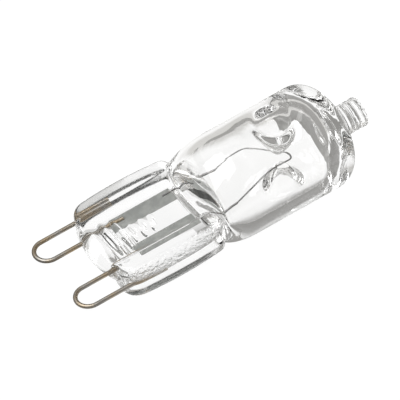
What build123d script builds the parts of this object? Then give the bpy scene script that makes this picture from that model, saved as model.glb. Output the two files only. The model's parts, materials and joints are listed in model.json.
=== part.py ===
from build123d import *
import math
import os

# A clear halogen lamp with a two-loop base: a quartz bulb closed by a flat pinch seal, two wire
# contact loops, two sealing foils, two inner leads and a filament hooked round two glass dimples.
# It is modelled along its own axis, z from the loop end of the pinch towards the exhaust stub,
# x across the pinch and y from its front face to its back. The last step lays it down at rest.

# Contact loops
LOOP_PITCH = 9.0          # between the middles of the two loops
LEG_SPACING = 3.2         # between the two legs of one loop
WIRE_D = 0.55
LOOP_REACH = 6.1          # from the pinch to the outside of the bend
LEG_LAP = 1.6             # length of leg beside its foil

# Pinch seal
PINCH_LEN = 12.3          # from the loop end to the foot of the bulb's shoulder
LEG_COVER = 0.2           # glass outside the outer legs at the loop end
RAIL_T = 4.7              # thickness of the side rails
RAIL_FACE = 1.8           # flat front face of a rail
RAIL_BULGE = 0.5          # the rails swell this much at half their length
RAIL_ROUND = 0.9          # rounding of the outer rail edges
RAIL_RISE = 1.1           # the rails run this far past the foot of the shoulder
LOOP_CORNER = 2.0         # corner of the pinch at the loop end, seen from the front
BULB_CORNER = 1.0         # corner of a rail beside the bulb, seen from the front
WEB_T = 2.2               # thickness of the web between the rails
WEB_W = 5.8               # flat width of the web
BEAD_D = 3.1              # round bead across the loop end of the web
BEAD_OUT = 0.35           # the bead stands this far out of the loop end

# Bulb
BULB_D = 13.2
WALL = 1.4
SHOULDER_FOOT_D = 11.0    # width of the shoulder at its foot
CYLINDER_LEN = 11.7
DOME_CORNER = 2.9         # corner between the cylinder and the crown of the dome
CROWN_R = 10.2            # radius of the crown
CROWN_T = 2.6             # glass at the middle of the dome
BORE_CORNER = 2.2         # the same corner inside, in two slopes
FLOOR_T = 2.2             # solid glass between the web and the floor of the cavity
FLOOR_R = 4.0             # rounding from the floor of the cavity to its front and back

# Exhaust stub
STUB_D = 3.6
STUB_LEN = 2.6
STUB_EDGE = 0.35          # slope round its melted end
COLLAR = 0.9              # flare where the stub leaves the dome

# Dimples that hold the filament
DIMPLE_UP = 6.9           # from the start of the cylinder to the dimples' axis
TIP_GAP = 0.3             # between the two dimples, inside
TIP_WALL = 1.5            # glass at the bottom of a dimple
TIP_D = 1.4               # flat bottom of a dimple, outside
DIMPLE_WALL = 0.9         # glass along the sides of a dimple
DIMPLE_LEAN = 27          # degrees from a dimple's axis to its sides
MOUTH_DEPTH = 1.7         # depth of the flared mouth
MOUTH_LEAN = 42           # degrees from the axis to the flare

# Foils and inner leads
FOIL_W = 2.4
FOIL_INSET = 0.25         # the foils lie this much nearer the middle than the legs
FOIL_T = 0.05
FOIL_START = 3.6          # from the loop end of the pinch
FOIL_LEN = 8.2
LEAD_D = 0.25
LEAD_LAP = 1.2            # length of lead welded to the foil
LEAD_FREE = 2.4           # length of lead standing in the bulb
WELD_DEPTH = 0.05         # flat pressed on a wire where it is welded

# Filament
FILAMENT_D = 0.22         # outside diameter of the coil
FILAMENT_FOOT = 0.6       # straight run above the lead
BOW_UP = 4.4              # from the end of the lead to where a leg bows most
FILAMENT_BOW = 1.6        # how far the legs bow towards the front
BOW_INSET = 0.3           # how far they come in there
HOOK_GAP = 0.15           # between the filament and the dimples it hooks over


def dome_height(radius, corner, crown_r):
    return crown_r - math.sqrt((crown_r - corner) ** 2 - (radius - corner) ** 2)


# Heights along the lamp that follow from the sizes above
shoulder_r = (BULB_D - WEB_T) / 2
cylinder_start = PINCH_LEN + shoulder_r
dome_start = cylinder_start + CYLINDER_LEN
crown = dome_start + dome_height(BULB_D / 2, DOME_CORNER, CROWN_R)
stub_end = crown + STUB_LEN
floor = PINCH_LEN + FLOOR_T
dimple_z = cylinder_start + DIMPLE_UP
lead_end = floor + LEAD_FREE
leg_end = FOIL_START + LEG_LAP
foil_end = FOIL_START + FOIL_LEN

# Widths that follow
bulb_r = BULB_D / 2
bore_r = bulb_r - WALL
outer_leg = (LOOP_PITCH + LEG_SPACING) / 2
inner_leg = (LOOP_PITCH - LEG_SPACING) / 2
pinch_end = outer_leg + WIRE_D / 2 + LEG_COVER
face_in = pinch_end + RAIL_BULGE - RAIL_ROUND - RAIL_FACE
weld_face = LEAD_D / 2 - WELD_DEPTH
dimple_slope = math.tan(math.radians(DIMPLE_LEAN))
inner_tip = TIP_D / 2 + DIMPLE_WALL / math.cos(math.radians(DIMPLE_LEAN)) - TIP_WALL * dimple_slope


def rounded_wedge(start, half, radius, end):
    # A bar across the lamp whose front and back curve out from its flat foot to the full depth.
    rise = start + radius
    foot = half - radius
    line = [
        Line((-foot, start), (foot, start)),
        CenterArc((foot, rise), radius, 270, 90),
        Polyline((half, rise), (half, end), (-half, end), (-half, rise)),
        CenterArc((-foot, rise), radius, 180, 90),
    ]
    return extrude(Plane.YZ * make_face(line), BULB_D, both=True)


def turned(*corners):
    # A body of revolution round the lamp's axis from the corners of its half section.
    return revolve(Plane.XZ * make_face(Polyline(*corners, close=True)), Axis.Z)


def domed_barrel(radius, start, top, corner, crown_r):
    # A cylinder closed by a shallow crown on a rounded corner.
    shelf = top - dome_height(radius, corner, crown_r)
    low = Vector(0, top - crown_r)
    corner_middle = Vector(radius - corner, shelf)
    lean = (corner_middle - low).normalized()
    line = [
        Polyline((0, top), (0, start), (radius, start), (radius, shelf)),
        RadiusArc((radius, shelf), corner_middle + lean * corner, -corner),
        RadiusArc(low + lean * crown_r, (0, top), -crown_r),
    ]
    return revolve(Plane.XZ * make_face(line), Axis.Z)


def exhaust_stub():
    # The melted end of the filling tube, with a small flare where it leaves the dome.
    reach = STUB_D / 2 + COLLAR
    base = crown - CROWN_R + math.sqrt(CROWN_R**2 - reach**2)
    return turned(
        (0, stub_end),
        (0, base - WALL / 2),
        (reach, base - WALL / 2),
        (reach, base),
        (STUB_D / 2, base + COLLAR),
        (STUB_D / 2, stub_end - STUB_EDGE),
        (STUB_D / 2 - STUB_EDGE, stub_end),
    )


def dimple_funnel(*corners):
    # A tapered plug along -y from corners given as (half width, distance from the lamp's axis). Its
    # last slope runs on past the outside of the bulb.
    far = bulb_r + WALL
    (near_wide, near), (wide, out) = corners[-2:]
    rim = wide + (far - out) * (wide - near_wide) / (out - near)
    outline = Polyline((0, corners[0][1]), *corners, (rim, far), (0, far), close=True)
    return Pos(0, 0, dimple_z) * Rot(180, 0, 0) * revolve(make_face(outline), Axis.Y)


def dimple_outside():
    tip = TIP_GAP / 2 + TIP_WALL
    mouth = bulb_r - MOUTH_DEPTH
    wide = TIP_D / 2 + (mouth - tip) * dimple_slope
    rim = wide + MOUTH_DEPTH * math.tan(math.radians(MOUTH_LEAN))
    return dimple_funnel((TIP_D / 2, tip), (wide, mouth), (rim, bulb_r))


def dimple_inside():
    tip = TIP_GAP / 2
    wide = inner_tip + (bulb_r - tip) * dimple_slope
    return dimple_funnel((inner_tip, tip), (wide, bulb_r))


def both_sides(shape):
    return [shape, Rot(0, 0, 180) * shape]


def pinch_seal():
    # A bar with rounded edges and swollen sides, with a drafted trough along each face.
    top = PINCH_LEN + RAIL_RISE
    outline = []
    for side in (1, -1):
        outline.append(Line((0, 0), (side * pinch_end, 0)))
        swell = (side * (pinch_end + RAIL_BULGE), top / 2)
        outline.append(ThreePointArc((side * pinch_end, 0), swell, (side * pinch_end, top)))
        outline.append(Line((side * pinch_end, top), (0, top)))
    plate = Sketch() + make_face(outline)
    plate = fillet(plate.vertices().filter_by(lambda v: v.X**2 > 1).group_by(Axis.Y)[0], LOOP_CORNER)
    plate = fillet(plate.vertices().filter_by(lambda v: v.X**2 > 1).group_by(Axis.Y)[-1], BULB_CORNER)
    body = extrude(Plane.XZ * plate, RAIL_T, both=True)
    section = RectangleRounded(2 * (pinch_end + RAIL_BULGE), RAIL_T, RAIL_ROUND)
    side_view = Pos(0, top / 2) * RectangleRounded(RAIL_T, top, RAIL_ROUND)
    body = body & extrude(section, top)
    body = body & extrude(Plane.YZ * side_view, BULB_D, both=True)
    for side in (1, -1):
        body -= extrude(trough(side), top)
    return body


def trough(side):
    # Cross-section of the hollow between the rails on one face of the pinch.
    lip = RAIL_T / 2 + RAIL_ROUND
    slope = (face_in - WEB_W / 2) / (RAIL_T - WEB_T) * 2
    wide = WEB_W / 2 + slope * (lip - WEB_T / 2)
    corners = [(WEB_W / 2, WEB_T / 2), (wide, lip), (-wide, lip), (-WEB_W / 2, WEB_T / 2)]
    return make_face(Polyline(*[(x, side * y) for x, y in corners], close=True))


def web_bead():
    # A rounded bead across both faces of the web at its loop end.
    bar = extrude(Plane.YZ * Circle(BEAD_D / 2), face_in, both=True)
    return Pos(0, 0, BEAD_D / 2 - BEAD_OUT) * bar


def envelope_outside():
    corners = [(SHOULDER_FOOT_D / 2, PINCH_LEN), (bulb_r, cylinder_start)]
    corners += [(-x, z) for x, z in reversed(corners)]
    shoulder = extrude(Plane.XZ * make_face(Polyline(*corners, close=True)), BULB_D, both=True)
    shoulder = shoulder & rounded_wedge(PINCH_LEN, bulb_r, shoulder_r, crown)
    shoulder = shoulder & extrude(Circle(bulb_r), crown)
    barrel = domed_barrel(bulb_r, cylinder_start, crown, DOME_CORNER, CROWN_R)
    body = shoulder + barrel + exhaust_stub()
    for dimple in both_sides(dimple_outside()):
        body -= dimple
    return body + pinch_seal() + web_bead()


def gas_space():
    top = crown - CROWN_T
    bend = BORE_CORNER * (1 - math.sqrt(0.5))
    space = turned(
        (0, floor),
        (bore_r, floor),
        (bore_r, top - BORE_CORNER),
        (bore_r - bend, top - bend),
        (bore_r - BORE_CORNER, top),
        (0, top),
    )
    space = space & rounded_wedge(floor, bore_r, FLOOR_R, crown)
    for dimple in both_sides(dimple_inside()):
        space -= dimple
    return space


def round_wire(path, diameter):
    # Round wire along straight runs and arcs: a cylinder for each run, part of a ring for each arc.
    wire = Part()
    for edge in path.edges():
        section = Plane(edge @ 0, z_dir=edge % 0) * Circle(diameter / 2)
        if edge.geom_type == GeomType.LINE:
            wire += extrude(section, edge.length)
        else:
            hub = edge.arc_center
            turn = Axis(hub, (edge @ 0 - hub).cross(edge % 0))
            wire += revolve(section, turn, math.degrees(edge.length / edge.radius))
    return wire


def contact_loop(side):
    # A U of round wire; the inner leg is pressed flat where the foil is welded to it.
    bend_r = LEG_SPACING / 2
    bend_z = -(LOOP_REACH - WIRE_D / 2 - bend_r)
    near = side * inner_leg
    far = side * outer_leg
    middle = side * LOOP_PITCH / 2
    path = Curve() + [
        Line((near, 0, leg_end), (near, 0, bend_z)),
        ThreePointArc((near, 0, bend_z), (middle, 0, bend_z - bend_r), (far, 0, bend_z)),
        Line((far, 0, bend_z), (far, 0, leg_end)),
    ]
    return round_wire(path, WIRE_D) - weld_cut(near, FOIL_START, leg_end)


def weld_cut(x, start, end):
    # The slice taken off a wire where it lies on its foil.
    slice_size = 2 * WIRE_D
    middle = (start + end) / 2
    return Pos(x, weld_face + slice_size / 2, middle) * Box(slice_size, slice_size, end - start)


def sealing_foil(side):
    across = side * (inner_leg - FOIL_INSET)
    middle = Pos(across, weld_face + FOIL_T / 2, FOIL_START + FOIL_LEN / 2)
    return middle * Box(FOIL_W, FOIL_T, FOIL_LEN)


def inner_lead(side):
    start = foil_end - LEAD_LAP
    wire = Pos(side * inner_leg, 0, start) * extrude(Circle(LEAD_D / 2), lead_end - start)
    return wire - weld_cut(side * inner_leg, start, foil_end)


def filament():
    # One arch, its legs bowed to the front and its top hooked over the dimples.
    hook = inner_tip + HOOK_GAP + FILAMENT_D / 2
    leg = [
        (inner_leg, 0, lead_end),
        (inner_leg, 0, lead_end + FILAMENT_FOOT),
        (inner_leg - BOW_INSET, -FILAMENT_BOW, lead_end + BOW_UP),
        (hook, 0, dimple_z + hook),
    ]
    path = Polyline(*leg, *[(-x, y, z) for x, y, z in reversed(leg)])
    section = Plane(path @ 0, z_dir=path % 0) * Circle(FILAMENT_D / 2)
    return sweep(section, path, transition=Transition.RIGHT)


def resting_place(shapes):
    # The tilt at which the pinch and the bulb touch the floor together, back face down, with the
    # origin on the floor under the middle of the lamp.
    corners = [(c.Z, c.Y) for shape in shapes for c in shape.tessellate(0.02)[0]]
    pinch = [(z, y) for z, y in corners if z < PINCH_LEN]
    bulb = [(z, y) for z, y in corners if z >= PINCH_LEN]

    def lowest(points, tilt):
        return min(z * math.sin(tilt) - y * math.cos(tilt) for z, y in points)

    flat, steep = 0.0, math.radians(45)
    for _ in range(40):
        tilt = (flat + steep) / 2
        if lowest(pinch, tilt) > lowest(bulb, tilt):
            flat = tilt
        else:
            steep = tilt
    reach = [z * math.cos(tilt) + y * math.sin(tilt) for z, y in corners]
    origin = (-(min(reach) + max(reach)) / 2, 0, -lowest(bulb, tilt))
    return Plane(origin, x_dir=(0, -1, 0), z_dir=(math.cos(tilt), 0, math.sin(tilt)))


pieces = {}
for name, side in (("left", -1), ("right", 1)):
    pieces["contact_loop_" + name] = contact_loop(side)
    pieces["sealing_foil_" + name] = sealing_foil(side)
    pieces["inner_lead_" + name] = inner_lead(side)
glass = envelope_outside() - gas_space()
for sunk in pieces.values():
    glass -= sunk
pieces["quartz_envelope"] = glass
pieces["filament"] = filament()
place = resting_place(pieces.values())

os.makedirs("parts", exist_ok=True)
for name, shape in pieces.items():
    export_step(shape.moved(place.location), "parts/" + name + ".step")
print("base", place.origin, "axis", -place.z_dir)
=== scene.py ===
import json
import math
import bpy
from mathutils import Matrix, Vector


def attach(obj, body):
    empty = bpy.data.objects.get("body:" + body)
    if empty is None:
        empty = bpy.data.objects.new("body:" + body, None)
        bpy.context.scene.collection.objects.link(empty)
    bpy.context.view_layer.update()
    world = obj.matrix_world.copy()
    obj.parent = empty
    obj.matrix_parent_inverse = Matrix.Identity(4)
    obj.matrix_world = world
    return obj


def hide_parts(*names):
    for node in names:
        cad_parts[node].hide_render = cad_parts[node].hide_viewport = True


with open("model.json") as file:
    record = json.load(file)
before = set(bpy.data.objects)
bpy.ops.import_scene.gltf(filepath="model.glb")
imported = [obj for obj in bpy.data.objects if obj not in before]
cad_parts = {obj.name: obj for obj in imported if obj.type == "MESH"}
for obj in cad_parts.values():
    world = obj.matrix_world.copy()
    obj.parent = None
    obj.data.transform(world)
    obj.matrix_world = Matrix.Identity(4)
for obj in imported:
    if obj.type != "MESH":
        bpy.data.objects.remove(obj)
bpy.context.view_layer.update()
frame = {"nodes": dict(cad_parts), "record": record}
print("loaded", len(frame["nodes"]), "solids")

# The lamp is modelled upright in millimetres, then laid down where its base mount says
baseMount = next(mount for mount in frame["record"]["mounts"] if mount["name"] == "base")
lampTop = -Vector(baseMount["axis"])
lampSide = Vector((0, -1, 0))
lampBack = lampTop.cross(lampSide)
millimetre = 0.001
layDown = Matrix((lampSide, lampBack, lampTop)).transposed().to_4x4()
layDown.translation = Vector(baseMount["pos_m"])
layDown = layDown @ Matrix.Scale(millimetre, 4)


def clearSelection():
    if bpy.context.object and bpy.context.object.mode != "OBJECT":
        leaveEdit()
    bpy.ops.object.select_all(action="DESELECT")


def pick(*pieces):
    clearSelection()
    for piece in pieces:
        piece.select_set(True)
    bpy.context.view_layer.objects.active = pieces[0]
    return pieces[0]


def editAll(piece, action="SELECT"):
    pick(piece)
    bpy.ops.object.mode_set(mode="EDIT")
    bpy.ops.mesh.select_all(action=action)


def leaveEdit():
    bpy.ops.object.mode_set(mode="OBJECT")


def editCorners(piece, wanted):
    # Only the corners whose place is wanted are selected
    editAll(piece, "DESELECT")
    leaveEdit()
    for corner in piece.data.vertices:
        corner.select = wanted(corner.co)
    bpy.ops.object.mode_set(mode="EDIT")


def applyModifier(piece, kind, **settings):
    pick(piece)
    modifier = piece.modifiers.new(kind.lower(), kind)
    for key, value in settings.items():
        setattr(modifier, key, value)
    bpy.ops.object.modifier_apply(modifier=modifier.name)


def applyPlace(piece, place):
    pick(piece)
    piece.matrix_world = place
    bpy.ops.object.transform_apply(location=True, rotation=True, scale=True)
    return piece


def layPiece(piece):
    applyPlace(piece, layDown)
    bpy.ops.object.shade_smooth()
    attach(piece, "root")
    return piece


def stackRings(name, rings, vertices=128, corner=None, cornerSteps=8):
    # A closed body of rings (height, half width, half depth); corner makes the ring a rounded box
    clearSelection()
    height, wide, deep = rings[0]
    if corner:
        bpy.ops.mesh.primitive_plane_add(size=2)
    else:
        bpy.ops.mesh.primitive_circle_add(vertices=vertices, radius=1, fill_type="NGON")
    piece = bpy.context.object
    piece.name = name
    editAll(piece)
    bpy.ops.transform.resize(value=(wide, deep, 1))
    if corner:
        bpy.ops.mesh.bevel(offset=corner, offset_type="OFFSET", segments=cornerSteps, affect="VERTICES")
        bpy.ops.mesh.select_all(action="SELECT")
    bpy.ops.transform.translate(value=(0, 0, height))
    for nextHeight, nextWide, nextDeep in rings[1:]:
        bpy.ops.mesh.extrude_region_move(TRANSFORM_OT_translate={"value": (0, 0, nextHeight - height)})
        bpy.ops.transform.resize(value=(nextWide / wide, nextDeep / deep, 1))
        height, wide, deep = nextHeight, nextWide, nextDeep
    bpy.ops.mesh.select_all(action="SELECT")
    bpy.ops.mesh.normals_make_consistent(inside=False)
    leaveEdit()
    return piece


glassSkin = {"voxel": 0.165, "smoothing": 4, "polish": 14, "polishLow": 3.0, "polishHigh": 3.6}
cavitySkin = {"voxel": 0.195, "smoothing": 9}
smoothFactor = 0.5


def fuse(name, skin, *pieces):
    # One soft skin over pieces that overlap, as melted glass
    whole = pick(*pieces)
    if len(pieces) > 1:
        bpy.ops.object.join()
    whole.name = name
    applyModifier(whole, "REMESH", mode="VOXEL", voxel_size=skin["voxel"])
    applyModifier(whole, "SMOOTH", factor=smoothFactor, iterations=skin["smoothing"])
    return whole


def softenBelt(piece, low, high, rounds):
    # Extra smoothing between two heights, where the flame has polished the glass
    belt = piece.vertex_groups.new(name="belt")
    inBelt = [corner.index for corner in piece.data.vertices if low < corner.co.z < high]
    belt.add(inBelt, 1.0, "REPLACE")
    applyModifier(piece, "SMOOTH", factor=smoothFactor, iterations=rounds, vertex_group="belt")
    piece.vertex_groups.clear()


def quarterOval(start, end, foot, full, steps):
    # Rings that widen from the foot to the full size along a quarter of an oval
    rings = []
    for step in range(steps + 1):
        turn = math.radians(90 * step / steps)
        share = math.sin(turn)
        height = end - (end - start) * math.cos(turn)
        wide = foot[0] + (full[0] - foot[0]) * share
        deep = foot[1] + (full[1] - foot[1]) * share
        rings.append((height, wide, deep))
    return rings


def domeRings(radius, shelf, corner, crownRadius, stop, steps):
    # Corner arc, then the shallow crown up to the ring of radius stop
    low = shelf - math.sqrt((crownRadius - corner) ** 2 - (radius - corner) ** 2)
    lean = math.atan2(shelf - low, radius - corner)
    rings = []
    for step in range(steps + 1):
        turn = lean * step / steps
        ring = radius - corner + corner * math.cos(turn)
        rings.append((shelf + corner * math.sin(turn), ring, ring))
    endTurn = math.acos(stop / crownRadius)
    for step in range(1, steps + 1):
        turn = lean + (endTurn - lean) * step / steps
        ring = crownRadius * math.cos(turn)
        rings.append((low + crownRadius * math.sin(turn), ring, ring))
    return rings


bulb = {
    "radius": 6.6,
    "shoulderStart": 12.3,
    "shoulderEnd": 17.8,
    "shoulderSteps": 14,
    "footHalf": (5.6, 1.1),
    "domeStart": 29.3,
    "domeCorner": 3.2,
    "domeSteps": 40,
    "crownRadius": 10.2,
}
stub = {
    "radius": 1.8,
    "end": 36.1,
    "collar": 0.8,
    "collarSteps": 6,
    "ripple": 0.22,
    "rippleRest": 0.4,  # share of the ripple that stands out of the radius
    "rippleSharp": 3,
    "ridges": 3,
    "steps": 30,
    "endRound": 0.2,
    "endRings": [(0.92, 0.15), (0.7, 0.05), (0.3, 0)],  # share of the radius, drop in end rounds
    "broken": 0.3,
    "brokenEven": 0.6,
    "seed": 5,
}


def barrelOutside():
    radius = bulb["radius"]
    shoulder = (bulb["shoulderStart"], bulb["shoulderEnd"], bulb["footHalf"], (radius, radius))
    rings = quarterOval(*shoulder, bulb["shoulderSteps"])
    stop = stub["radius"] + stub["collar"]
    dome = (radius, bulb["domeStart"], bulb["domeCorner"], bulb["crownRadius"], stop)
    rings += domeRings(*dome, bulb["domeSteps"])
    foot = rings[-1][0]
    for step in range(1, stub["collarSteps"] + 1):
        turn = math.radians(90 * step / stub["collarSteps"])
        ring = stop - stub["collar"] * math.sin(turn)
        rings.append((foot + stub["collar"] * (1 - math.cos(turn)), ring, ring))
    foot = rings[-1][0]
    for step in range(1, stub["steps"] + 1):
        share = step / stub["steps"]
        groove = abs(math.cos(math.pi * stub["ridges"] * share)) ** stub["rippleSharp"]
        ring = stub["radius"] + stub["ripple"] * (stub["rippleRest"] - groove)
        rings.append((foot + (stub["end"] - stub["endRound"] - foot) * share, ring, ring))
    for share, drop in stub["endRings"]:
        ring = stub["radius"] * share
        rings.append((stub["end"] - stub["endRound"] * drop, ring, ring))
    piece = stackRings("barrel", rings)
    tipFrom = stub["end"] - 2 * stub["endRound"]
    editCorners(piece, lambda place: place.z > tipFrom)
    breaking = {"uniform": stub["brokenEven"], "seed": stub["seed"]}
    bpy.ops.transform.vertex_random(offset=stub["broken"], **breaking)  # tip broken off by hand
    leaveEdit()
    return piece


cavity = {
    "radius": 5.2,
    "floor": 14.5,
    "floorSteps": 10,
    "full": 18.2,
    "footHalf": (4.8, 0.6),
    "top": 31.2,
    "corner": 4.0,
    "crownRadius": 8.0,
    "crownStop": 0.4,
    "crownSteps": 8,
}


def cavityInside():
    radius = cavity["radius"]
    corner = cavity["corner"]
    crownRadius = cavity["crownRadius"]
    floor = (cavity["floor"], cavity["full"], cavity["footHalf"], (radius, radius))
    rings = quarterOval(*floor, cavity["floorSteps"])
    rise = crownRadius - math.sqrt((crownRadius - corner) ** 2 - (radius - corner) ** 2)
    crown = (radius, cavity["top"] - rise, corner, crownRadius, cavity["crownStop"])
    rings += domeRings(*crown, cavity["crownSteps"])
    return stackRings("cavity", rings)


dimple = {
    "height": 24.7,
    "outside": [
        {"reach": 4.4, "depth": 1.5, "falloff": "SHARP"},
        {"reach": 2.8, "depth": 3.3, "falloff": "SMOOTH"},
    ],
    "inside": [
        {"reach": 5.2, "depth": 1.5, "falloff": "SHARP"},
        {"reach": 3.0, "depth": 3.1, "falloff": "SMOOTH"},
    ],
}


def addEmpty(place):
    clearSelection()
    bpy.ops.object.empty_add(location=place)
    return bpy.context.object


def pressDimples(piece, skin, radius, presses):
    # The hot wall is pushed in from the front and the back: a wide soft hollow, then a narrower tip
    applyModifier(piece, "REMESH", mode="VOXEL", voxel_size=skin["voxel"])
    for side in (1, -1):
        place = radius
        for press in presses:
            wall = addEmpty((0, side * place, dimple["height"]))
            place -= press["depth"]
            rod = addEmpty((0, side * place, dimple["height"]))
            falloff = {"falloff_type": press["falloff"], "falloff_radius": press["reach"]}
            applyModifier(piece, "WARP", object_from=wall, object_to=rod, **falloff)
            bpy.data.objects.remove(wall)
            bpy.data.objects.remove(rod)


pinch = {
    "end": 6.575,
    "bulge": 0.5,
    "length": 13.4,
    "thick": 4.7,
    "edge": 0.6,
    "loopCorner": 2.0,
    "loopRings": [0, 0.08, 0.2, 0.4, 0.65, 0.95, 1.3, 1.7, 2.0],  # up from the loop end
    "middleSteps": 16,
    "bulbCorner": 1.0,
    "bulbRings": [0.3, 0.55, 0.75, 0.9, 1.0],  # up from the start of the bulb end's corner
    "webHalf": 2.9,
    "webThick": 2.2,
    "faceIn": 4.375,
    "cutOver": 1,  # the trough cutters reach this far out of the face
    "cutLonger": 4,
}


def pinchPlate():
    edge = pinch["edge"]
    loopCorner = pinch["loopCorner"]
    bulbCorner = pinch["bulbCorner"]
    middle = pinch["length"] - loopCorner - bulbCorner
    steps = pinch["middleSteps"]
    heights = list(pinch["loopRings"])
    heights += [loopCorner + middle * step / steps for step in range(1, steps + 1)]
    heights += [pinch["length"] - bulbCorner + up for up in pinch["bulbRings"]]
    rings = []
    for height in heights:
        fromTop = pinch["length"] - height
        wide = pinch["end"] + pinch["bulge"] * (1 - (2 * height / pinch["length"] - 1) ** 2)
        for gap, corner in ((height, loopCorner), (fromTop, bulbCorner)):
            if gap < corner:
                wide -= corner - math.sqrt(max(corner**2 - (corner - gap) ** 2, 0))
        deep = pinch["thick"] / 2
        for gap in (height, fromTop):
            if gap < edge:
                deep -= edge - math.sqrt(edge**2 - (edge - gap) ** 2)
        rings.append((height, wide, deep))
    plate = stackRings("plate", rings, corner=edge)
    for side in (1, -1):
        cutter = troughCutter(side)
        applyModifier(plate, "BOOLEAN", object=cutter, operation="DIFFERENCE", solver="EXACT")
        bpy.data.objects.remove(cutter)
    return plate


def troughCutter(side):
    # A drafted bar that hollows one face of the pinch between its rails
    face = pinch["thick"] / 2
    web = pinch["webThick"] / 2
    slope = (pinch["faceIn"] - pinch["webHalf"]) / (pinch["thick"] - pinch["webThick"]) * 2
    depth = face + pinch["cutOver"] - web
    clearSelection()
    bpy.ops.mesh.primitive_cube_add(size=1)
    cutter = bpy.context.object
    cutter.scale = (2 * pinch["webHalf"], depth, pinch["length"] + pinch["cutLonger"])
    cutter.location = (0, side * (web + depth / 2), pinch["length"] / 2)
    bpy.ops.object.transform_apply(location=True, rotation=True, scale=True)
    editCorners(cutter, lambda place: place.y * side > face)
    bpy.ops.transform.resize(value=(1 + slope * depth / pinch["webHalf"], 1, 1))
    leaveEdit()
    return cutter


webRidges = [  # bars across the web: height, half length and depth, half width, taper to the ends
    {"height": 0.3, "half": (1.25, 1.8), "reach": 4.4, "taper": 0.6},
    {"height": 2.05, "half": (0.85, 1.75), "reach": 3.7, "taper": 0.35},
    {"height": 3.45, "half": (0.7, 1.65), "reach": 2.9, "taper": 0.2},
    {"height": 4.85, "half": (0.5, 1.4), "reach": 1.5, "taper": 0.3},
    {"height": 6.2, "half": (0.5, 1.4), "reach": 1.5, "taper": 0.3},
    {"height": 7.5, "half": (0.45, 1.35), "reach": 1.3, "taper": 0.3},
]
ridgeDetail = {"steps": 8, "tip": 0.7, "vertices": 64}


def webRidge(ridge):
    # A rounded bar across both faces of the web, thinner towards its ends
    steps = ridgeDetail["steps"]
    rings = []
    for step in range(-steps, steps + 1):
        share = step / steps
        size = 1 - ridge["taper"] * share**2
        if abs(step) == steps:
            size *= ridgeDetail["tip"]
        rings.append((ridge["reach"] * share, ridge["half"][0] * size, ridge["half"][1] * size))
    bar = stackRings("ridge", rings, vertices=ridgeDetail["vertices"])
    lift = Matrix.Translation((0, 0, ridge["height"]))
    return applyPlace(bar, lift @ Matrix.Rotation(math.radians(90), 4, "Y"))


barrel = barrelOutside()
pressDimples(barrel, glassSkin, bulb["radius"], dimple["outside"])
outside = fuse("lampGlass", glassSkin, barrel, pinchPlate(), *[webRidge(ridge) for ridge in webRidges])
polishLow = bulb["shoulderStart"] + glassSkin["polishLow"]
polishHigh = bulb["domeStart"] + glassSkin["polishHigh"]
softenBelt(outside, polishLow, polishHigh, glassSkin["polish"])
inside = cavityInside()
pressDimples(inside, cavitySkin, cavity["radius"], dimple["inside"])
inside = fuse("cavity", cavitySkin, inside)
editAll(inside)
bpy.ops.mesh.flip_normals()
leaveEdit()
lampGlass = pick(outside, inside)
bpy.ops.object.join()
layPiece(lampGlass)
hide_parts("quartz_envelope")
print("glass", len(lampGlass.data.polygons), "faces")

coil = {
    "wire": 0.028,
    "sides": 6,
    "radius": 0.082,
    "pitch": 0.1,
    "steps": 9,
    "leg": [
        (2.9, 0.0, 16.9),
        (2.9, -0.55, 18.6),
        (2.72, -1.35, 20.6),
        (2.2, -1.3, 22.8),
        (1.5, -0.45, 24.9),
    ],
    "hook": [(1.0, 0.0, 25.75), (0.0, 0.0, 25.9)],
    "order": 3,
    "resolution": 12,
}


def coiledFilament():
    # A straight coil turned by a screw, then bent along the arch
    points = coil["leg"] + coil["hook"]
    points += [(-x, y, z) for x, y, z in reversed(points[:-1])]
    arch = bpy.data.curves.new("arch", "CURVE")
    arch.dimensions = "3D"
    line = arch.splines.new("NURBS")
    line.points.add(len(points) - 1)
    for place, point in zip(line.points, points):
        place.co = (*point, 1)
    line.use_endpoint_u = True
    line.order_u = coil["order"]
    line.resolution_u = coil["resolution"]
    guide = bpy.data.objects.new("arch", arch)
    bpy.context.scene.collection.objects.link(guide)
    length = line.calc_length()
    turns = round(length / coil["pitch"])
    clearSelection()
    onEdge = (math.pi / 2, 0, 0)
    bpy.ops.mesh.primitive_circle_add(vertices=coil["sides"], radius=coil["wire"], rotation=onEdge)
    piece = bpy.context.object
    piece.name = "filamentCoil"
    bpy.ops.object.transform_apply(location=True, rotation=True, scale=True)
    editAll(piece)
    bpy.ops.transform.translate(value=(coil["radius"], 0, 0))
    leaveEdit()
    winding = {"axis": "Z", "angle": math.tau, "screw_offset": length / turns, "iterations": turns}
    applyModifier(piece, "SCREW", **winding, steps=coil["steps"], render_steps=coil["steps"])
    applyModifier(piece, "CURVE", object=guide, deform_axis="POS_Z")
    bpy.data.objects.remove(guide)
    editAll(piece)
    bpy.ops.mesh.normals_make_consistent(inside=False)
    leaveEdit()
    return piece


filamentCoil = layPiece(coiledFilament())
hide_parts("filament")
print("filament", len(filamentCoil.data.polygons), "faces")


def newMaterial(name):
    material = bpy.data.materials.new(name)
    material.use_nodes = True
    return material, material.node_tree


def dress(piece, material):
    piece.data.materials.clear()
    piece.data.materials.append(material)


def addNode(tree, kind, inputs=None, **settings):
    node = tree.nodes.new("ShaderNode" + kind)
    for key, value in settings.items():
        setattr(node, key, value)
    for key, value in (inputs or {}).items():
        node.inputs[key].default_value = value
    return node


def texture(tree, place, kind, inputs, **settings):
    node = addNode(tree, kind, inputs, **settings)
    tree.links.new(place, node.inputs["Vector"])
    return node.outputs["Fac"]


def ramp(tree, source, low, high, toLow=0.0, toHigh=1.0):
    # Goes from toLow to toHigh while the source goes from low to high
    limits = {"From Min": low, "From Max": high, "To Min": toLow, "To Max": toHigh}
    node = addNode(tree, "MapRange", limits)
    tree.links.new(source, node.inputs["Value"])
    return node.outputs["Result"]


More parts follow.
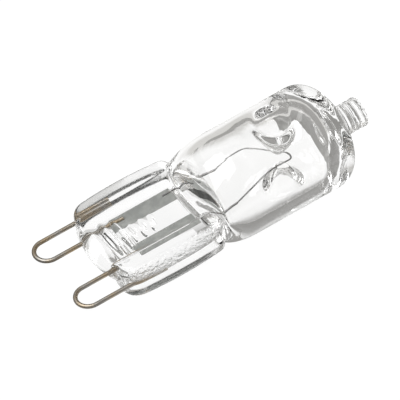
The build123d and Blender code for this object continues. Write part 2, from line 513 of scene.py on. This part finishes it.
def colourRamp(tree, source, stops):
    # Blends between stops of a position and a colour
    node = addNode(tree, "ValToRGB")
    elements = node.color_ramp.elements
    while len(elements) < len(stops):
        elements.new(0.5)
    for element, (position, colour) in zip(elements, stops):
        element.position = position
        element.color = (*colour, 1)
    tree.links.new(source, node.inputs["Fac"])
    return node.outputs["Color"]


def combine(tree, operation, first, second, **settings):
    node = addNode(tree, "Math", operation=operation, **settings)
    tree.links.new(first, node.inputs[0])
    tree.links.new(second, node.inputs[1])
    return node.outputs["Value"]


def bump(tree, height, depth, under=None, strength=1.0):
    # Relief of a depth in millimetres, on top of the relief under it
    node = addNode(tree, "Bump", {"Strength": strength, "Distance": depth * millimetre})
    tree.links.new(height, node.inputs["Height"])
    if under:
        tree.links.new(under, node.inputs["Normal"])
    return node.outputs["Normal"]


def showMix(tree, share, first, second):
    # The surface is the first shader, and the second where share is one
    blend = addNode(tree, "MixShader")
    tree.links.new(share, blend.inputs["Fac"])
    tree.links.new(first, blend.inputs[1])
    tree.links.new(second, blend.inputs[2])
    tree.links.new(blend.outputs["Shader"], tree.nodes["Material Output"].inputs["Surface"])


# Shared group: the place on the upright lamp, in millimetres
lampPlace = bpy.data.node_groups.new("lampPlace", "ShaderNodeTree")
lampPlace.interface.new_socket("Place", in_out="OUTPUT", socket_type="NodeSocketVector")
objectPlace = addNode(lampPlace, "TexCoord")
upright = addNode(lampPlace, "Mapping", vector_type="TEXTURE")
upright.inputs["Location"].default_value = layDown.to_translation()
upright.inputs["Rotation"].default_value = layDown.to_euler()
upright.inputs["Scale"].default_value = (millimetre, millimetre, millimetre)
groupEnd = lampPlace.nodes.new("NodeGroupOutput")
lampPlace.links.new(objectPlace.outputs["Object"], upright.inputs["Vector"])
lampPlace.links.new(upright.outputs["Vector"], groupEnd.inputs["Place"])


def addPlace(tree):
    place = addNode(tree, "Group", node_tree=lampPlace)
    return place.outputs["Place"]


wireLook = {
    "tone": (0.36, 0.34, 0.31),
    "stain": (0.4, 0.31, 0.2),
    "patch": 0.35,
    "rough": (0.3, 0.5),
    "stretch": (1.0, 1.0, 0.15),
    "lines": 9.0,
    "relief": 0.5,
    "metallic": 1.0,
}
foilLook = {
    "tone": (0.34, 0.35, 0.335),
    "stain": (0.44, 0.45, 0.43),
    "patch": 0.8,
    "rough": (0.5, 0.7),
    "stretch": (1.0, 1.0, 0.5),
    "lines": 3.0,
    "relief": 1.0,
    "metallic": 0.3,
}
tungstenLook = {
    "tone": (0.2, 0.2, 0.2),
    "stain": (0.3, 0.29, 0.28),
    "patch": 1.5,
    "rough": (0.35, 0.55),
    "stretch": (1.0, 1.0, 1.0),
    "lines": 20.0,
    "relief": 0.2,
    "metallic": 1.0,
}
metalDetail = {"toneEnd": 0.42, "stainStart": 0.64, "patch": 3, "lines": 4, "depth": 0.01}


def metalLook(name, look):
    # Drawn metal: patches of two tones, uneven polish and fine lines along the lamp
    material, tree = newMaterial(name)
    shader = tree.nodes["Principled BSDF"]
    place = addPlace(tree)
    patches = texture(tree, place, "TexNoise", {"Scale": look["patch"], "Detail": metalDetail["patch"]})
    stops = [(metalDetail["toneEnd"], look["tone"]), (metalDetail["stainStart"], look["stain"])]
    stretch = addNode(tree, "Mapping", {"Scale": look["stretch"]})
    tree.links.new(place, stretch.inputs["Vector"])
    fineLines = {"Scale": look["lines"], "Detail": metalDetail["lines"]}
    lines = texture(tree, stretch.outputs["Vector"], "TexNoise", fineLines)
    relief = bump(tree, lines, metalDetail["depth"], strength=look["relief"])
    tree.links.new(colourRamp(tree, patches, stops), shader.inputs["Base Color"])
    tree.links.new(ramp(tree, lines, 0.0, 1.0, *look["rough"]), shader.inputs["Roughness"])
    tree.links.new(relief, shader.inputs["Normal"])
    shader.inputs["Metallic"].default_value = look["metallic"]
    return material


wireMetal = metalLook("contactWire", wireLook)
foilMetal = metalLook("foilMetal", foilLook)
coilMetal = metalLook("coilMetal", tungstenLook)
for name, node in frame["nodes"].items():
    if name.startswith("contact_loop"):
        dress(node, wireMetal)
    elif name.startswith("sealing_foil"):
        dress(node, foilMetal)
    elif name.startswith("inner_lead"):
        dress(node, coilMetal)
dress(filamentCoil, coilMetal)

quartzLook = {  # pairs are places on the upright lamp where a zone begins and is full
    "bend": 1.458,
    "inShadow": (0.94, 0.94, 0.94, 1),
    "tints": [(0.0, (0.985, 0.985, 0.98)), (1.0, (1.0, 1.0, 1.0))],
    "wave": 0.45,
    "waveDepth": 0.02,
    "rings": 0.34,
    "ringWarp": 1.0,
    "ringDepth": 0.03,
    "dome": (32.0, 33.2),
    "bands": 0.27,
    "bandWarp": 2.0,
    "bandDetail": 0.6,
    "bandShare": 7.0,
    "stub": (33.5, 33.9),
    "belowBulb": (13.0, 12.0),
    "press": 2.2,
    "pressDepth": 0.4,
    "pressOut": (5.9, 6.4),
    "pressFront": (-0.5, -1.1),
    "grain": 5.0,
    "grainDepth": 0.001,
    "rail": (6.0, 6.8),
    "frost": 0.2,
}
quartz, tree = newMaterial("clearQuartz")
shader = tree.nodes["Principled BSDF"]
place = addPlace(tree)
axes = addNode(tree, "SeparateXYZ")
tree.links.new(place, axes.inputs["Vector"])
rightward, backward, upward = [axes.outputs[axis] for axis in "XYZ"]

# Slow waves in the wall, with a faint tint
waves = texture(tree, place, "TexNoise", {"Scale": quartzLook["wave"], "Detail": 1})
tree.links.new(colourRamp(tree, waves, quartzLook["tints"]), shader.inputs["Base Color"])
relief = bump(tree, waves, quartzLook["waveDepth"])

# Rings on the crown of the dome and bands round the stub
ringShape = {"Scale": quartzLook["rings"], "Distortion": quartzLook["ringWarp"], "Detail": 0}
rings = texture(tree, place, "TexWave", ringShape, wave_type="RINGS", rings_direction="Z")
ringHeight = combine(tree, "MULTIPLY", rings, ramp(tree, upward, *quartzLook["dome"]))
bandShape = {"Scale": quartzLook["bands"], "Distortion": quartzLook["bandWarp"], "Detail": 0}
bandShape["Detail Scale"] = quartzLook["bandDetail"]
bands = texture(tree, place, "TexWave", bandShape, bands_direction="Z")
onStub = ramp(tree, upward, *quartzLook["stub"], toHigh=quartzLook["bandShare"])
ripples = combine(tree, "ADD", ringHeight, combine(tree, "MULTIPLY", bands, onStub))
relief = bump(tree, ripples, quartzLook["ringDepth"], relief)

# Rough pressing along the outer front edge of the right rail
belowBulb = ramp(tree, upward, *quartzLook["belowBulb"])
pressed = texture(tree, place, "TexNoise", {"Scale": quartzLook["press"], "Detail": 4})
pressOut = ramp(tree, rightward, *quartzLook["pressOut"])
pressFront = ramp(tree, backward, *quartzLook["pressFront"])
pressZone = combine(tree, "MULTIPLY", combine(tree, "MULTIPLY", pressOut, pressFront), belowBulb)
relief = bump(tree, combine(tree, "MULTIPLY", pressZone, pressed), quartzLook["pressDepth"], relief)

# Fine grain and frost on the outer sides of both rails
outward = addNode(tree, "Math", operation="ABSOLUTE")
tree.links.new(rightward, outward.inputs[0])
onRail = ramp(tree, outward.outputs["Value"], *quartzLook["rail"])
railZone = combine(tree, "MULTIPLY", onRail, belowBulb)
grain = texture(tree, place, "TexNoise", {"Scale": quartzLook["grain"], "Detail": 2})
relief = bump(tree, combine(tree, "MULTIPLY", railZone, grain), quartzLook["grainDepth"], relief)
frost = ramp(tree, railZone, 0.0, 1.0, toHigh=quartzLook["frost"])
tree.links.new(frost, shader.inputs["Roughness"])
tree.links.new(relief, shader.inputs["Normal"])
shader.inputs["IOR"].default_value = quartzLook["bend"]
shader.inputs["Transmission Weight"].default_value = 1.0
seeThrough = addNode(tree, "BsdfTransparent", {"Color": quartzLook["inShadow"]})
rayKind = addNode(tree, "LightPath")
showMix(tree, rayKind.outputs["Is Shadow Ray"], shader.outputs["BSDF"], seeThrough.outputs["BSDF"])
dress(lampGlass, quartz)
print("materials")

studio = {
    "floor": 2.0,
    "surround": 0.35,  # around the lamp, where the glass and the metal show it
    "ambient": 0.55,  # around the lamp, as light on the paper
    "shadowShare": 0.1,  # of the paper that takes shadows, the rest glows
    "paper": 1.06,
    "paperTone": (0.9, 0.9, 0.9, 1),
    "paperRough": 0.9,
    "span": 40,  # half the width across the lamp in which the painted shades lie, in millimetres
    # painted shade on the floor: the lamp's shadow in front of it and a lighter grey behind, seen only
    # through the glass and mirrored; place across the lamp in millimetres, shade
    "paintedShades": [(-24, 1.0), (-19, 0.25), (-3.5, 0.25), (-1.5, 1.0), (18, 1.0), (32, 0.6)],
    "warm": (1.0, 0.985, 0.95),
}
white = (1, 1, 1)


def seenDirectly(tree):
    # One for rays that show the surface itself: to the camera, mirrored or through the glass
    rays = addNode(tree, "LightPath").outputs
    either = combine(tree, "ADD", rays["Is Camera Ray"], rays["Is Glossy Ray"])
    return combine(tree, "ADD", either, rays["Is Transmission Ray"], use_clamp=True)


def shadeStop(spot, shade):
    # A stop of the painted shade on the floor across the lamp: white, or a warm grey
    colour = white if shade == 1 else [shade * part for part in studio["warm"]]
    return (spot + studio["span"]) / (2 * studio["span"]), colour


clearSelection()
bpy.ops.mesh.primitive_plane_add(size=studio["floor"])
floor = bpy.context.object
floor.name = "floor"
paper, tree = newMaterial("whitePaper")
shader = tree.nodes["Principled BSDF"]
shader.inputs["Base Color"].default_value = studio["paperTone"]
shader.inputs["Roughness"].default_value = studio["paperRough"]
seen = seenDirectly(tree)
glowShare = addNode(tree, "Math", {1: 1 - studio["shadowShare"]}, operation="MULTIPLY")
tree.links.new(seen, glowShare.inputs[0])
objectPlace = addNode(tree, "TexCoord")
axes = addNode(tree, "SeparateXYZ")
tree.links.new(objectPlace.outputs["Object"], axes.inputs["Vector"])
reach = studio["span"] * millimetre
# Painted shade on the floor across the lamp, which only rays through the glass and mirrored rays see
across = ramp(tree, axes.outputs["Y"], -reach, reach)
paintedShades = colourRamp(tree, across, [shadeStop(*shade) for shade in studio["paintedShades"]])
onlyWhite = addNode(tree, "Mix", data_type="RGBA")  # the camera itself sees plain white paper
firstColour, secondColour = onlyWhite.inputs[6:8]
secondColour.default_value = (*white, 1)
rayKind = addNode(tree, "LightPath")
tree.links.new(rayKind.outputs["Is Camera Ray"], onlyWhite.inputs["Factor"])
tree.links.new(paintedShades, firstColour)
glow = addNode(tree, "Emission", {"Strength": studio["paper"]})
tree.links.new(onlyWhite.outputs[2], glow.inputs["Color"])
showMix(tree, glowShare.outputs["Value"], shader.outputs["BSDF"], glow.outputs["Emission"])
dress(floor, paper)

world = bpy.data.worlds.new("studio")
bpy.context.scene.world = world
world.use_nodes = True
tree = world.node_tree
sky = tree.nodes["Background"]
level = ramp(tree, seenDirectly(tree), 0.0, 1.0, studio["ambient"], studio["surround"])
tree.links.new(level, sky.inputs["Strength"])
sky.inputs["Color"].default_value = (*studio["warm"], 1)

# Painted floor shade that only the glass and mirrors show: grey beyond the tip and the loops, pale grey
# at the left rail, white under the right rail where it lifts the painted shadow
paintedShadeGrey = (0.28, 0.276, 0.266)
paintedPaleShade = (0.7, 0.7, 0.69)
cards = [  # painted shade on the floor that shows only through the glass, or mirrored too: middle, half size in mm
    {"name": "tipCard", "spot": (54, 0), "half": (30, 40), "tone": paintedShadeGrey, "mirrored": True},
    {"name": "loopCard", "spot": (-47, 20), "half": (30, 60), "tone": paintedShadeGrey, "mirrored": True},
    {"name": "leftCard", "spot": (-9.2, 5.3), "half": (4.8, 1.1), "tone": paintedPaleShade, "mirrored": False},
    {"name": "railCard", "spot": (-12.0, -11.1), "half": (10.2, 8.9), "tone": white, "mirrored": True},
]
cardLift = 0.02
for card in cards:
    clearSelection()
    spot = (card["spot"][0] * millimetre, card["spot"][1] * millimetre, cardLift * millimetre)
    bpy.ops.mesh.primitive_plane_add(size=2, location=spot)
    board = bpy.context.object
    board.name = card["name"]
    board.scale = (card["half"][0] * millimetre, card["half"][1] * millimetre, 1)
    bpy.ops.object.transform_apply(location=True, rotation=True, scale=True)
    board.visible_camera = False
    board.visible_diffuse = False
    board.visible_shadow = False
    board.visible_glossy = card["mirrored"]
    # Each card glows with its tone though it is no lamp: painted shade, or painted white under the
    # right rail
    paintedShadeCard, tree = newMaterial("paintedShadeCard")
    glow = addNode(tree, "Emission", {"Color": (*card["tone"], 1)})
    tree.links.new(glow.outputs["Emission"], tree.nodes["Material Output"].inputs["Surface"])
    dress(board, paintedShadeCard)

softTop = {"spot": Vector((-0.3, 0.05, 0.45)), "size": 0.5, "power": 3.0}
light = bpy.data.lights.new("softTop", "AREA")
light.size = softTop["size"]
light.energy = softTop["power"]
holder = bpy.data.objects.new("softTop", light)
holder.location = softTop["spot"]
holder.rotation_euler = (-softTop["spot"]).to_track_quat("-Z", "Y").to_euler()
bpy.context.scene.collection.objects.link(holder)

camera = {
    "aim": Vector((-1.2, 0.0, 5.57)),
    "azimuth": math.radians(-36.8),
    "elevation": math.radians(39.6),
    "roll": math.radians(6.9),
    "width": 46.2,  # millimetres that the picture shows at the aim
    "lens": 1500,
    "clip": (0.01, 10),
}
outShare = math.cos(camera["elevation"])
toCamera = Vector(
    (
        math.sin(camera["azimuth"]) * outShare,
        -math.cos(camera["azimuth"]) * outShare,
        math.sin(camera["elevation"]),
    )
)
lens = bpy.data.cameras.new("camera")
lens.lens = camera["lens"]
lens.clip_start, lens.clip_end = camera["clip"]
far = camera["width"] * millimetre / 2 / math.tan(lens.angle / 2)
viewer = bpy.data.objects.new("camera", lens)
bpy.context.scene.collection.objects.link(viewer)
viewer.location = camera["aim"] * millimetre + toCamera * far
viewer.rotation_mode = "QUATERNION"
rolled = Matrix.Rotation(camera["roll"], 4, "Z").to_quaternion()
viewer.rotation_quaternion = (-toCamera).to_track_quat("-Z", "Y") @ rolled
bpy.context.scene.camera = viewer
bpy.context.scene.view_settings.view_transform = "Standard"
paths = bpy.context.scene.cycles
paths.max_bounces = 32
paths.transmission_bounces = 32
paths.glossy_bounces = 16
paths.caustics_refractive = False
paths.caustics_reflective = False
print("studio and camera")
